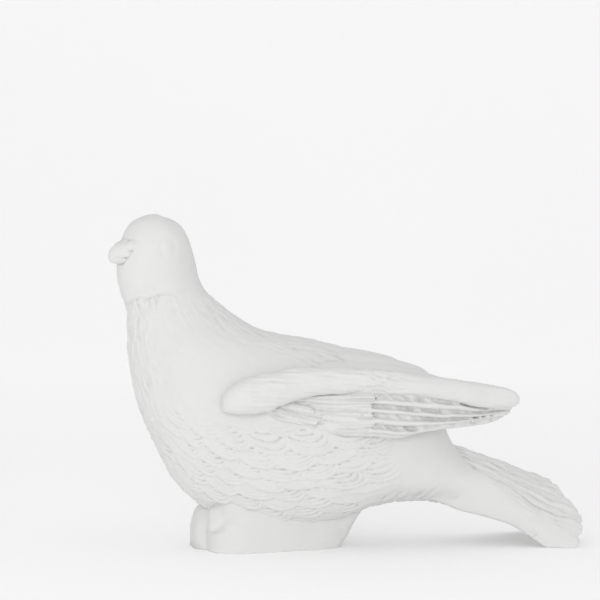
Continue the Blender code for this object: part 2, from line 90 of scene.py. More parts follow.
# Rows of the trunk from the crown to the inside of the tail: front x, front z, back x, back z,
# half width, fullness towards the front, how far the row follows the head's turn
TRUNK = (
    (-25.0, 67.60, -23.2, 67.62, 0.9, 0.0, 1.0),
    (-26.9, 66.95, -21.3, 67.10, 2.7, 0.0, 1.0),
    (-28.8, 65.90, -19.6, 66.30, 4.2, 0.0, 1.0),
    (-30.0, 64.20, -18.3, 65.00, 5.5, 0.0, 1.0),
    (-30.9, 62.20, -17.2, 63.00, 6.2, 0.0, 1.0),
    (-31.6, 59.80, -16.2, 60.60, 6.5, 0.0, 1.0),
    (-31.8, 57.40, -15.4, 58.00, 6.6, 0.0, 1.0),
    (-31.6, 54.90, -14.8, 55.40, 6.6, 0.0, 0.9),
    (-30.8, 52.10, -13.6, 52.80, 6.7, 0.0, 0.7),
    (-29.9, 48.90, -11.0, 50.00, 7.2, 0.0, 0.4),
    (-29.6, 44.90, -7.1, 47.00, 8.6, 0.0, 0.15),
    (-29.5, 40.40, -2.1, 44.40, 10.6, 0.0, 0.0),
    (-28.9, 35.60, 3.6, 43.30, 12.6, 0.02, 0.0),
    (-27.7, 30.40, 9.0, 42.30, 14.2, 0.05, 0.0),
    (-25.6, 24.80, 14.3, 41.00, 15.3, 0.08, 0.0),
    (-22.9, 19.20, 19.0, 39.90, 15.9, 0.10, 0.0),
    (-19.8, 13.90, 23.9, 38.50, 16.0, 0.10, 0.0),
    (-14.9, 9.30, 28.4, 36.80, 15.8, 0.10, 0.0),
    (-7.8, 6.10, 32.0, 35.00, 15.2, 0.08, 0.0),
    (-0.6, 4.50, 34.6, 32.40, 14.4, 0.05, 0.0),
    (5.9, 4.40, 35.6, 29.20, 13.4, 0.02, 0.0),
    (12.2, 5.60, 36.2, 25.60, 12.4, 0.0, 0.0),
    (18.6, 7.60, 37.2, 22.20, 11.4, 0.0, 0.0),
    (25.0, 8.60, 39.2, 19.50, 10.4, 0.0, 0.0),
    (31.4, 8.60, 41.8, 17.60, 9.4, 0.0, 0.0),
    (37.0, 8.00, 45.4, 15.30, 9.1, 0.0, 0.0),
    (42.0, 6.90, 49.0, 12.60, 9.8, 0.0, 0.0),
    (46.5, 5.60, 52.0, 10.20, 10.4, 0.0, 0.0),
    (50.5, 4.60, 54.5, 8.20, 10.6, 0.0, 0.0),
)

# Rows of the wing's leading band: x, top z, bottom z, half thickness, share of the wing's spread
BAND = (
    (-13.45, 30.6, 29.8, 0.5, 0.86),
    (-13.1, 32.0, 28.9, 1.7, 0.89),
    (-12.0, 33.4, 28.5, 2.6, 0.92),
    (-10.0, 34.8, 28.3, 3.1, 0.96),
    (-7.0, 35.9, 28.3, 3.2, 0.99),
    (-3.5, 36.7, 29.2, 3.1, 1.0),
    (0.5, 37.2, 30.8, 2.9, 1.0),
    (5.0, 37.5, 31.8, 2.7, 1.0),
    (10.0, 37.5, 32.2, 2.6, 1.0),
    (16.0, 37.1, 32.5, 2.5, 1.0),
    (22.0, 36.3, 32.0, 2.4, 1.0),
    (27.5, 35.6, 31.2, 2.2, 1.0),
    (33.0, 34.9, 30.4, 2.0, 1.0),
    (38.0, 34.2, 29.3, 1.8, 1.0),
    (43.0, 33.4, 28.7, 1.5, 1.0),
    (46.2, 32.5, 28.8, 1.1, 1.0),
    (47.6, 31.1, 29.6, 0.5, 1.0),
)

# Rows of the wing's sheet of feathers: x, bottom z, inward lean of the bottom edge
SHEET = (
    (-5.0, 29.2, 0.6),
    (-3.2, 27.6, 1.0),
    (0.0, 26.2, 1.4),
    (4.0, 25.2, 1.8),
    (9.0, 24.1, 2.0),
    (13.0, 23.5, 2.1),
    (18.0, 23.4, 2.2),
    (23.0, 23.0, 2.3),
    (27.0, 23.9, 2.5),
    (32.0, 24.5, 2.9),
    (37.0, 24.8, 4.0),
    (41.6, 25.3, 4.8),
    (44.8, 26.1, 4.8),
    (46.4, 27.4, 3.6),
)

# Shafts of the long wing feathers, from the top one down: each a row of x, z pairs
SHAFTS = (
    ((12.0, 32.1), (17.2, 31.93), (26.4, 31.59), (31.5, 31.08), (37.5, 30.07), (40.4, 28.9),
     (46.0, 27.8)),
    ((12.0, 30.6), (17.2, 30.05), (22.5, 29.59), (27.6, 28.94), (32.5, 28.62), (38.9, 28.16),
     (46.0, 28.4)),
    ((12.0, 28.7), (17.5, 28.31), (22.5, 27.87), (27.6, 27.30), (31.5, 27.0), (38.1, 26.92),
     (46.0, 27.6)),
    ((12.0, 26.4), (17.5, 26.07), (21.2, 25.63), (26.4, 25.43), (31.5, 25.49), (37.0, 26.0),
     (46.0, 27.2)),
)

# Short feathers laid over the wing's sheet, the covered ones first: x and z of root and tip, half
# width, how proud the tip stands
LEAVES = (
    (6.5, 24.7, 16.2, 24.6, 1.3, 1.0),
    (5.5, 25.6, 17.3, 26.0, 1.35, 1.25),
    (5.0, 27.2, 17.0, 27.5, 1.3, 1.1),
    (1.0, 28.9, 14.6, 28.0, 1.25, 1.5),
    (1.5, 30.0, 16.6, 29.5, 1.3, 1.75),
    (1.5, 31.3, 17.1, 31.2, 1.7, 2.0),
    (-4.5, 28.6, 3.6, 26.4, 0.9, 1.6),
    (-4.5, 29.0, 5.9, 26.4, 1.0, 1.9),
    (-4.0, 29.6, 6.7, 27.3, 1.1, 2.1),
    (-3.0, 30.2, 5.2, 28.6, 1.1, 1.9),
)

# Rows of the tail: x, ridge z, half width, edge between top and side z, lower corner z, middle
# of the underside z
TAIL = (
    (28.0, 20.0, 4.0, 16.0, 11.6, 12.0),
    (33.0, 20.8, 6.4, 16.0, 9.4, 9.8),
    (38.0, 19.6, 8.0, 14.8, 7.0, 7.6),
    (43.0, 18.1, 9.2, 12.9, 5.9, 6.6),
    (48.0, 16.4, 10.8, 9.6, 4.2, 5.8),
    (51.5, 15.1, 12.0, 6.9, 2.2, 5.2),
    (54.0, 14.2, 12.9, 5.0, 0.3, 4.8),
    (57.0, 13.3, 13.8, 3.2, -0.9, 4.4),
    (60.0, 12.0, 14.6, 2.4, -0.9, 4.0),
    (65.0, 9.2, 15.4, 2.2, -0.9, 3.6),
)

# Where the tail's end reaches at shares of the way from its ridge to its outer corner
TAIL_END = ((0.0, 60.9), (0.12, 61.4), (0.3, 62.8), (0.5, 63.6), (0.7, 62.9), (0.88, 61.0), (1.0, 59.4))

# Feathers on each half of the tail's top, depth of the notches between them, share of the way out
# where the side begins, and how far the far corner is rolled up
TAIL_FEATHERS = 5
TAIL_NOTCH = 1.1
TAIL_SIDE = 0.84
TAIL_ROLL = 2.4

# Mass that joins the wing to the flank: x, y, z, half width, half height, roll
WING_ROOT = (
    (-8.5, -13.2, 31.2, 1.0, 1.0, 0),
    (-7.0, -12.8, 31.4, 1.8, 2.4, 0),
    (-3.0, -12.6, 31.8, 2.3, 3.4, 0),
    (3.0, -12.6, 31.8, 2.6, 3.8, 0),
    (12.0, -12.6, 31.2, 3.6, 4.2, 0),
    (22.0, -12.4, 30.6, 4.0, 4.0, 0),
    (29.0, -12.4, 30.2, 4.6, 3.2, 0),
    (33.5, -12.6, 30.0, 3.4, 2.2, 0),
    (35.0, -12.6, 30.0, 1.0, 0.8, 0),
)

# Cape feathers beside the back: x of root and tip, height, distance out, half width, drop
CAPE = (
    (4.0, 28.2, 39.2, 3.6, 3.4, 3.4),
    (8.0, 33.4, 38.0, 6.4, 3.4, 4.6),
    (11.0, 37.0, 36.2, 9.2, 3.2, 5.0),
    (12.0, 39.0, 34.6, 12.4, 2.8, 3.0),
    (3.0, 20.0, 36.4, 9.8, 3.6, 1.0),
)

# Plinth and far foot, metres: the plinth reaches up into the breast, its rear face leans out by
# the lean for each unit of height, and a corner power of 1 would make its plan round
PLINTH_LENGTH = 0.083
PLINTH_WIDTH = 0.056
PLINTH_REAR_WIDTH = 0.031
PLINTH_REACH = 0.0265
PLINTH_LEAN = 0.62
PLINTH_CORNER = 0.42
PLINTH_FRONT = -PLINTH_LENGTH / 2
FAR_FOOT_AHEAD = 0.0065
FAR_FOOT_WIDTH = 0.033
FAR_FOOT_HEIGHT = 0.029
PLINTH_TRIANGLES = 60000

# Width of the plinth at shares of the way from its front to its rear
PLINTH_PLAN = (
    (0.0, PLINTH_WIDTH * 0.96),
    (0.25, PLINTH_WIDTH),
    (0.58, PLINTH_WIDTH * 0.8),
    (1.0, PLINTH_REAR_WIDTH),
)

# Skin: how far it is carried below the ground before it is cut there, softening of its steps,
# rounds and weight of the smoothing where two forms meet, rounds of the blur that finds the
# hollows where shade is painted into the stone's colour, and the gap kept to the part's own box
CUT_DEPTH = 0.006
SOFTEN = 0.35
MELT_ROUNDS = 90
MELT_WEIGHT = 0.7
HOLLOW_ROUNDS = 10
BOX_MARGIN = 1e-5

# Wing's distance from the bird's middle plane at its front and at its tip, how far the front of
# the sheet lies in towards the body, and how much further its top edge does
WING_SPREAD = 18.4
WING_TIP_SPREAD = 16.2
SHEET_SINK = 1.5
SHEET_TOP_SINK = 2.2

# Steps after which the noise repeats
NOISE_SPAN = 97

# Noises of the stone, each by scale, detail and roughness, and the scale of its pinholes
CLOUD = (42.0, 3.0, 0.55)
GRAIN = (650.0, 5.0, 0.6)
DUST = (190.0, 4.0, 0.6)
PINHOLES = 420.0

# Floor in metres from the origin, along the camera's line of sight: its front end, the start and
# the radius of its rise behind the object, the backdrop's top and half its width
FLOOR_FRONT = -6.0
FLOOR_BACK = 3.0
FLOOR_RISE = 1.2
FLOOR_TOP = 6.0
FLOOR_SIDE = 9.0

# Soft lamps: name of the power in the studio's sizes, width and height, place, point it faces
LAMPS = (
    ("key", (0.7, 0.5), (-0.5, -1.5, 0.35), (0.03, 0.0, 0.09)),
    ("backdrop_light", (3.0, 2.0), (0.6, 1.8, 2.6), (0.9, 4.2, 0.9)),
)

# Camera: place in metres, turn about the upright line, lens and sensor in millimetres
CAMERA_PLACE = (-0.222687, -1.130403, 0.1517)
CAMERA_TURN = math.radians(12.0)
CAMERA_LENS = 112.5
CAMERA_SENSOR = 36.0


# Sizes and colours that a user would change

class DoveFigure(bpy.types.PropertyGroup):
    """Sizes of the carved figure."""

    length: bpy.props.FloatProperty(
        name="Length", description="Length that every size of the figure is a share of",
        default=0.300, min=0.05, subtype="DISTANCE", unit="LENGTH")
    head_turn: bpy.props.FloatProperty(
        name="Head Turn", description="How far the head looks to its left side",
        default=math.radians(24.0), subtype="ANGLE", unit="ROTATION")
    cap_step: bpy.props.FloatProperty(
        name="Cap Step", description="Height of the smooth cap's hem over the neck",
        default=0.0011, min=0.0, subtype="DISTANCE", unit="LENGTH")
    scale_step: bpy.props.FloatProperty(
        name="Scale Step", description="Height of the body feathers' tips",
        default=0.0017, min=0.0, subtype="DISTANCE", unit="LENGTH")
    stroke_depth: bpy.props.FloatProperty(
        name="Stroke Depth", description="Depth of the chisel strokes on the feathers",
        default=0.0007, min=0.0, subtype="DISTANCE", unit="LENGTH")
    detail: bpy.props.FloatProperty(
        name="Detail", description="Size of the smallest form kept on the body and the plinth",
        default=0.00062, min=0.0004, subtype="DISTANCE", unit="LENGTH")
    triangles: bpy.props.IntProperty(
        name="Triangles", description="Triangles kept on the body", default=197000, min=1000)

    def share(self):
        """The unit of the figure's tables: a hundredth of its length."""
        return self.length / 100.0


class DoveWings(bpy.types.PropertyGroup):
    """Sizes of the wings' carving."""

    leaf_step: bpy.props.FloatProperty(
        name="Leaf Step", description="Height of the short feathers' tips",
        default=0.0019, min=0.0, subtype="DISTANCE", unit="LENGTH")
    shaft_step: bpy.props.FloatProperty(
        name="Shaft Step", description="Height of the long feathers' shafts",
        default=0.0040, min=0.0, subtype="DISTANCE", unit="LENGTH")
    barb_depth: bpy.props.FloatProperty(
        name="Barb Depth", description="Depth of the oblique strokes between the shafts",
        default=0.0016, min=0.0, subtype="DISTANCE", unit="LENGTH")
    detail: bpy.props.FloatProperty(
        name="Detail", description="Size of the smallest form kept on a wing",
        default=0.0005, min=0.0003, subtype="DISTANCE", unit="LENGTH")
    triangles: bpy.props.IntProperty(
        name="Triangles", description="Triangles kept on one wing", default=150000, min=1000)


class StoneFinish(bpy.types.PropertyGroup):
    """Finish of the cast stone."""

    colour: bpy.props.FloatVectorProperty(
        name="Colour", description="Colour of the clean stone", subtype="COLOR", size=3,
        default=(0.74, 0.74, 0.735), min=0.0, max=1.0)
    # Painted shade: the darker colour that the hollows of the carving are painted with
    painted_shade_colour: bpy.props.FloatVectorProperty(
        name="Hollow Colour", description="Colour in the depth of the carving", subtype="COLOR", size=3,
        default=(0.42, 0.42, 0.415), min=0.0, max=1.0)
    roughness: bpy.props.FloatProperty(
        name="Roughness", description="Roughness of the matt stone", default=0.84, min=0.0, max=1.0)
    grain: bpy.props.FloatProperty(
        name="Grain", description="Height of the fine grain",
        default=0.00012, min=0.0, subtype="DISTANCE", unit="LENGTH")


class DoveStudio(bpy.types.PropertyGroup):
    """Floor and lights."""

    floor_colour: bpy.props.FloatVectorProperty(
        name="Floor Colour", description="Colour of the floor and the backdrop", subtype="COLOR",
        size=3, default=(0.94, 0.94, 0.94), min=0.0, max=1.0)
    floor_glow: bpy.props.FloatProperty(
        name="Floor Glow", description="Light that the floor gives itself", default=0.12, min=0.0)
    sky: bpy.props.FloatProperty(
        name="Sky", description="Strength of the light from all sides", default=0.775, min=0.0)
    key: bpy.props.FloatProperty(
        name="Key Light", description="Power of the soft light beside the camera",
        default=6.1, min=0.0, subtype="POWER", unit="POWER")
    backdrop_light: bpy.props.FloatProperty(
        name="Backdrop Light", description="Power of the light on the backdrop behind the object",
        default=3.5, min=0.0, subtype="POWER", unit="POWER")


# Curves, noise and grids

def spline(points, count):
    """Smooth curve through the rows of points, read at count even steps."""
    points = np.asarray(points, float)
    padded = np.vstack([2 * points[0] - points[1], points, 2 * points[-1] - points[-2]])
    at = np.linspace(0, len(points) - 1, count)
    index = np.minimum(at.astype(int), len(points) - 2)
    part = (at - index)[:, None]
    before, start, end, after = (padded[index + step] for step in range(4))
    line = 2 * start + (end - before) * part
    bend = (2 * before - 5 * start + 4 * end - after) * part ** 2
    twist = (3 * start - before - 3 * end + after) * part ** 3
    return 0.5 * (line + bend + twist)


def ease(low, high, value):
    """Smooth step from 0 at low to 1 at high."""
    share = np.clip((value - low) / (high - low), 0.0, 1.0)
    return share * share * (3 - 2 * share)


def noise(across, along, seed, period=NOISE_SPAN):
    """Smooth random heights from -1 to 1, repeating after period steps across."""
    lattice = np.random.default_rng(seed).uniform(-1, 1, (period, NOISE_SPAN))
    column = np.floor(across).astype(int)
    row = np.floor(along).astype(int)
    right = ease(0, 1, across - column)
    down = ease(0, 1, along - row)
    here = lattice[column % period, row % NOISE_SPAN]
    beside = lattice[(column + 1) % period, row % NOISE_SPAN]
    below = lattice[column % period, (row + 1) % NOISE_SPAN]
    corner = lattice[(column + 1) % period, (row + 1) % NOISE_SPAN]
    top = here + (beside - here) * right
    return top + (below + (corner - below) * right - top) * down


def outward(grid):
    """Unit normals of a closed grid, pointing out of it."""
    along = np.gradient(grid, axis=0)
    around = np.roll(grid, -1, axis=1) - np.roll(grid, 1, axis=1)
    normal = np.cross(around, along)
    size = np.linalg.norm(normal, axis=2, keepdims=True)
    normal = normal / np.maximum(size, 1e-9)
    middle = grid.mean(axis=1, keepdims=True)
    if np.sum(normal * (grid - middle)) < 0:
        normal = -normal
    return normal


def feathers(rows, lanes, wide=0.56, square=0.85):
    """Overlapping rounded feathers in staggered rows.

    A feather starts at each whole number of rows, two rows long, and its tip is a half ellipse.
    Returns its height, rising from 0 at the root to 1 at the tip, the distance to its edge, the
    place across it from -0.5 to 0.5, and a random number from 0 to 1 that belongs to it.
    """
    height = np.zeros_like(rows)
    edge = np.zeros_like(rows)
    beside = np.zeros_like(rows)
    chance = np.zeros_like(rows)
    taken = np.zeros(rows.shape, bool)
    for behind in (2, 1, 0):
        start = np.floor(rows) - behind
        along = rows - start
        shifted = lanes - 0.5 * np.mod(start, 2)
        lane = np.floor(shifted + 0.5)
        across = shifted - lane
        tip = 2 - square + square * np.sqrt(np.clip(1 - (across / wide) ** 2, 0, 1))
        inside = (along < tip) & ~taken
        luck = np.mod(np.sin(start * 12.9898 + lane * 78.233) * 43758.5453, 1.0)
        height = np.where(inside, along / 2, height)
        edge = np.where(inside, tip - along, edge)
        beside = np.where(inside, across, beside)
        chance = np.where(inside, luck, chance)
        taken |= inside
    return height, edge, beside, chance


def squared_circle(columns, power):
    """Cosine and sine of even angles round a circle, each to a power: under 1 it grows corners."""
    angle = np.linspace(0, 2 * math.pi, columns, endpoint=False)[None, :]
    return tuple(np.sign(way) * np.abs(way) ** power for way in (np.cos(angle), np.sin(angle)))


def oval(stations, count, columns, power=2.0):
    """Tube along x: rows of centre x, y, z, half width across y, half height, roll in radians.

    Each ring is |u / width|^power + |v / height|^power = 1, an ellipse where the power is 2.
    """
    line = spline(stations, count)
    wide, high = squared_circle(columns, 2 / power)
    wide = wide * line[:, 3:4]
    high = high * line[:, 4:5]
    roll = line[:, 5:6]
    y = line[:, 1:2] + wide * np.cos(roll) - high * np.sin(roll)
    z = line[:, 2:3] + wide * np.sin(roll) + high * np.cos(roll)
    x = line[:, 0:1] + 0 * y
    return np.stack([x, y, z], axis=-1)


def mirrored(grid):
    """The same grid on the bird's other side, its rows turned round to stay outward."""
    return (grid * np.array([1, -1, 1]))[:, ::-1]


# Meshes

def shell(grid):
    """Closed mesh of a grid whose rows are closed loops, with a point at each end."""
    rows, columns = grid.shape[:2]
    points = np.vstack([grid.reshape(-1, 3), grid[:1].mean(axis=1), grid[-1:].mean(axis=1)])
    index = np.arange(rows * columns).reshape(rows, columns)
    beside = np.roll(index, -1, axis=1)
    quads = np.stack([index[:-1], beside[:-1], beside[1:], index[1:]], axis=-1).reshape(-1, 4)
    first = rows * columns
    start = np.stack([beside[0], index[0], np.full(columns, first)], axis=-1)
    end = np.stack([index[-1], beside[-1], np.full(columns, first + 1)], axis=-1)
    return points, quads, np.concatenate([start, end])


def joined(grids, share, name):
    """One mesh of all the closed grids, not yet fused."""
    points = []
    fours = []
    threes = []
    offset = 0
    for grid in grids:
        some, quads, triangles = shell(grid)
        points.append(some * share)
        fours.append(quads + offset)
        threes.append(triangles + offset)
        offset += len(some)
    corners = np.concatenate([np.concatenate(fours).ravel(), np.concatenate(threes).ravel()])
    sizes = np.concatenate([np.full(sum(map(len, fours)), 4), np.full(sum(map(len, threes)), 3)])
    starts = np.concatenate([[0], np.cumsum(sizes)[:-1]])
    mesh = bpy.data.meshes.new(name)
    mesh.vertices.add(offset)
    mesh.vertices.foreach_set("co", np.vstack(points).astype(np.float32).ravel())
    mesh.loops.add(len(corners))
    mesh.loops.foreach_set("vertex_index", corners.astype(np.int32))
    mesh.polygons.add(len(sizes))
    mesh.polygons.foreach_set("loop_start", starts.astype(np.int32))
    mesh.update(calc_edges=True)
    mesh.validate()
    return mesh


def applied(thing):
    """Mesh of the object with its modifiers carried out."""
    graph = bpy.context.evaluated_depsgraph_get()
    graph.update()
    result = bpy.data.meshes.new_from_object(thing.evaluated_get(graph), depsgraph=graph)
    thing.modifiers.clear()
    old = thing.data
    thing.data = result
    bpy.data.meshes.remove(old)
    return result


def cut_flat(mesh, height):
    """Removes what lies below the height and closes the cut with one flat face."""
    work = bmesh.new()
    work.from_mesh(mesh)
    everything = work.verts[:] + work.edges[:] + work.faces[:]
    bmesh.ops.bisect_plane(work, geom=everything, dist=1e-6, plane_co=(0, 0, height),
                           plane_no=(0, 0, -1), clear_outer=True)
    rim = [edge for edge in work.edges if edge.is_boundary]
    bmesh.ops.holes_fill(work, edges=rim, sides=0)
    bmesh.ops.triangulate(work, faces=work.faces[:])
    bmesh.ops.dissolve_degenerate(work, edges=work.edges[:], dist=1e-6)
    bmesh.ops.recalc_face_normals(work, faces=work.faces[:])
    work.to_mesh(mesh)
    work.free()
    mesh.update()


def read_points(mesh):
    """Places of the mesh's points, one row each."""
    points = np.empty(len(mesh.vertices) * 3, np.float32)
    mesh.vertices.foreach_get("co", points)
    return points.reshape(-1, 3).astype(float)


def averaged(mesh, points, rounds, weight=1.0):
    """The points moved by their weight to the mean of their neighbours, a number of rounds."""
    count = len(points)
    ends = np.empty(len(mesh.edges) * 2, np.int32)
    mesh.edges.foreach_get("vertices", ends)
    first, second = ends.reshape(-1, 2).T
    degree = np.maximum(np.bincount(ends, minlength=count), 1)
    for _ in range(rounds):
        total = [np.bincount(first, points[second, axis], count)
                 + np.bincount(second, points[first, axis], count) for axis in range(3)]
        points = points + weight * (np.stack(total, axis=1) / degree[:, None] - points)
    return points


def hollows(mesh, rounds):
    """Stores how deep each point lies under the mean of its neighbours, blurred a few rounds.

    The value is the part of the neighbours' offset along the normal, in millimetres: above 0 in
    the carving's hollows and below 0 on its edges.  The stone's material paints shade into its
    colour where the value is above 0.
    """
    points = read_points(mesh)
    normal = np.empty(points.size, np.float32)
    mesh.vertex_normals.foreach_get("vector", normal)
    depth = np.sum((averaged(mesh, points, rounds) - points) * normal.reshape(-1, 3), axis=1) * 1000
    layer = mesh.attributes.new("hollow", "FLOAT", "POINT")
    layer.data.foreach_set("value", depth.astype(np.float32))


def carved(name, grids, share, detail, triangles, melt=None):
    """Object of the grids fused to one closed skin, softened, cut flat at the ground, thinned.

    The function melt gives, for places in shares of the length, how much the skin is smoothed
    there, from 0 to 1.  The points are kept inside the part's own box.
    """
    thing = bpy.data.objects.new(name, joined(grids, share, name))
    bpy.context.scene.collection.objects.link(thing)
    fuse = thing.modifiers.new("fuse", "REMESH")
    fuse.mode = "VOXEL"
    fuse.voxel_size = detail
    fuse.adaptivity = 0.0
    applied(thing)
    soften = thing.modifiers.new("soften", "SMOOTH")
    soften.factor = SOFTEN
    soften.iterations = 1
    mesh = applied(thing)
    if melt:
        points = read_points(mesh)
        weight = MELT_WEIGHT * melt(points / share)[:, None]
        points = averaged(mesh, points, MELT_ROUNDS, weight)
        mesh.vertices.foreach_set("co", points.astype(np.float32).ravel())
        mesh.update()
    if min(corner[2] for corner in thing.bound_box) < -1e-6:
        cut_flat(mesh, 0.0)
    mesh.calc_loop_triangles()
    if len(mesh.loop_triangles) > triangles:
        thin = thing.modifiers.new("thin", "DECIMATE")
        thin.ratio = triangles / len(mesh.loop_triangles)
        mesh = applied(thing)
    low = np.asarray(CAD_BOX[0]) + BOX_MARGIN
    high = np.asarray(CAD_BOX[1]) - BOX_MARGIN
    inside = np.clip(read_points(mesh), low, high)
    mesh.vertices.foreach_set("co", inside.astype(np.float32).ravel())
    mesh.polygons.foreach_set("use_smooth", np.ones(len(mesh.polygons), bool))
    mesh.update()
    # Depth in the hollows, which the stone's colour uses for painted shade
    hollows(mesh, HOLLOW_ROUNDS)
    mesh.materials.clear()
    mesh.materials.append(white_stone())
    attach(thing, BODY)
    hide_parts(NODE)
    return thing


def ball(centre, radii, pitch=0.0, rows=60, columns=90):
    """Ellipsoid: the radii times (cos a, sin a cos b, sin a sin b), turned by pitch about y."""
    down = np.linspace(0.02, math.pi - 0.02, rows)[:, None]
    around = np.linspace(0, 2 * math.pi, columns, endpoint=False)[None, :]
    x = radii[0] * np.cos(down) + 0 * around
    y = radii[1] * np.sin(down) * np.cos(around)
    z = radii[2] * np.sin(down) * np.sin(around)
    tipped_x = x * math.cos(pitch) - z * math.sin(pitch)
    tipped_z = x * math.sin(pitch) + z * math.cos(pitch)
    return np.stack([tipped_x, y, tipped_z], axis=-1) + np.asarray(centre)


# Head, neck and body

def tail_join(points):
    """How much the skin is smoothed where the body runs into the sides of the tail."""
    x, y, z = points.T
    table = np.asarray(TAIL, float)
    edge = np.interp(x, table[:, 0], table[:, 3])
    along = ease(32, 36, x) * ease(52, 46, x)
    above = np.where(x < 44, 2.0, 0.0)
    return along * ease(0.5, -1.0, z - edge - above) * ease(2.0, 5.0, np.abs(y))


def toe_join(points):
    """How much the skin is smoothed where the toes lie on the plinth."""
    x, _, z = points.T
    return ease(-2.0, -6.0, x) * ease(3.5, 6.0, z)


def turned(points, turn):
    """Turns points about the neck's upright line."""
    x = points[..., 0] - HEAD_X
    y = points[..., 1]
    away_x = HEAD_X + x * np.cos(turn) - y * np.sin(turn)
    away_y = x * np.sin(turn) + y * np.cos(turn)
    return np.stack([away_x, away_y, points[..., 2]], axis=-1)


def trunk(figure, share, rows=620, columns=660):
    """Head, neck and body: slanting rings between the front line and the back line.

    Ring r at angle a: middle(r) - half(r) cos a in the side view, width(r) sin a (1 + fullness
    cos a) across, lifted along the normal by body_relief.
    """
    ring = spline(TRUNK, rows)
    angle = np.linspace(0, 2 * math.pi, columns, endpoint=False)[None, :]
    front = ring[:, None, 0:2]
    back = ring[:, None, 2:4]
    half = (back - front) / 2
    middle = (back + front) / 2
    flat = middle - half * np.cos(angle)[..., None]
    side = -ring[:, 4:5] * np.sin(angle) * (1 + ring[:, 5:6] * np.cos(angle))
    grid = np.stack([flat[..., 0], side, flat[..., 1]], axis=-1)
    grid = turned(grid, figure.head_turn * ring[:, 6:7])
    centre = middle[:, 0]
    step = np.linalg.norm(np.diff(centre, axis=0), axis=1)
    length = np.concatenate([[0], np.cumsum(step)])[:, None]
    relief = body_relief(figure, share, angle + 0 * length, length + 0 * angle, grid)
    return grid + outward(grid) * relief[..., None]


def body_relief(figure, share, angle, length, grid):
    """Height of the carving by the angle round the trunk, the way down from the crown and the place.

    It sums the body feathers, the hair strokes, a fringe of slanting grooves in front of the tail,
    the cap, the rings round the eyes, and low dents and swells.
    """
    x, y, z = (grid[..., axis] for axis in range(3))
    stroke = figure.stroke_depth / share
    low, relief = body_feathers(figure, share, stroke, x, np.abs(y), z)
    relief = relief + hair_strokes(stroke, angle, length, x, z, low)

    fringe = ease(14, 24, x) * ease(5.0, 1.5, z - np.interp(x, *np.transpose(BELLY)))
    slant = noise((x - z) * 0.9, (x + z) * 0.25, 10)
    relief = relief - 3.0 * stroke * fringe * np.abs(slant)

    relief = relief + smooth_cap(figure, share, angle, length)
    relief = eyes_ringed(relief, figure.head_turn, grid)
    round_share = angle / (2 * math.pi)
    dents = noise(round_share * 26, length * 0.8, 13, 26) * (1 - ease(14, 18, length))
    swell = noise(round_share * 17, length * 0.35, 14, 17) * ease(16, 24, length)
    return relief + 0.035 * dents + 0.05 * swell


def body_feathers(figure, share, stroke, x, y, z):
    """Where the rounded feathers of the lower body lie, from 0 to 1, and their height there.

    They lie in staggered rows with their tips down: each climbs to its tip, and narrow grooves
    exp(-(d / w)^2) run at even distances d inside the tip's edge.
    """
    fall = 0.10 * x + 0.012 * np.minimum(x, 0) ** 2 - z + 0.8 * (16 - y) * ease(40, 16, z)
    beside_way = x + y - 0.15 * fall
    drift = 1.3 * noise(beside_way * 0.15, fall * 0.2, 3)
    rows = (fall + drift) / SCALE_ROWS
    lift, edge, beside, chance = feathers(rows, (beside_way + drift) / SCALE_LANES)
    low = ease(29.0, 25.5, z + 2 * drift) * ease(27.0, 17.0, x + 3 * drift)
    count = edge * (2.6 + 1.4 * chance) + 0.10 * noise(beside * 3 + chance * 50, edge * 2, 8)
    off = (count - np.round(count)) / 0.20
    groove = np.exp(-off ** 2) * ease(2.0, 1.3, edge) * ease(0.56, 0.42, np.abs(beside))
    depth = 0.75 + 0.25 * noise(beside * 3 + chance * 77, edge * 1.5, 15)
    scales = figure.scale_step / share * lift ** 2 * (0.5 + 0.5 * chance)
    return low, low * (scales - 2.4 * stroke * groove * depth)


def hair_strokes(stroke, angle, length, x, z, low):
    """Fine strokes down the front edge, the neck and the back, faint where the feathers lie."""
    round_share = angle / (2 * math.pi)
    bend = 0.8 * noise(round_share * 8, length * 0.18, 4, 8)
    hair = noise(round_share * 150 + 2.2 * bend, length * 0.45, 5, 150)
    fine = noise(round_share * 300 + 3.0 * bend, length * 0.80, 6, 300)
    sweep = noise(round_share * 60 + 2.0 * bend, length * 0.2, 7, 60)
    in_front = ease(0.55, 0.85, np.cos(angle))
    behind = ease(-0.25, -0.7, np.cos(angle))
    on_neck = ease(15.5, 18, length) * (1 - ease(22, 30, length))
    where = ease(15.5, 18, length) * (0.22 + 0.7 * in_front + 0.60 * behind + 0.25 * on_neck)
    where = where * (1 - 0.8 * low) * (1 - 0.85 * ease(18, 25, x) * ease(31, 26, z))
    return stroke * np.minimum(where, 1) * (0.9 * hair + 0.6 * fine + 0.15 * sweep)


def smooth_cap(figure, share, angle, length):
    """The cap's height: a step down at a wavy hem, fading out towards the nape."""
    hem = HEM_DOWN - HEM_RISE * (1 - np.cos(angle)) + 0.30 * np.sin(9 * angle + 0.4)
    hem = hem + 0.25 * np.sin(5 * angle + 0.6)
    hem = hem + 0.15 * noise(angle / (2 * math.pi) * 40, length * 0.4, 12, 40)
    cap = (1 - ease(-0.2, 0.15, length - hem)) * ease(-0.5, 0.2, np.cos(angle))
    return figure.cap_step / share * cap


def eyes_ringed(relief, turn, grid):
    """The relief with a shallow oval ring pressed in round each eye."""
    x, y, z = (grid[..., axis] for axis in range(3))
    for side in (-1, 1):
        eye_x, eye_y, eye_z = turned(np.array([EYE[0], side * EYE[1], EYE[2]]), turn)
        ahead = (x - eye_x) * math.cos(turn)
        ahead = ahead + (y - eye_y) * math.sin(turn)
        away = np.hypot(ahead / 1.5, (z - eye_z) / 1.8)
        near = ease(4.0, 2.5, np.hypot(x - eye_x, y - eye_y))
        relief = relief - near * 0.14 * np.exp(-((away - 1.1) / 0.30) ** 2)
    return relief


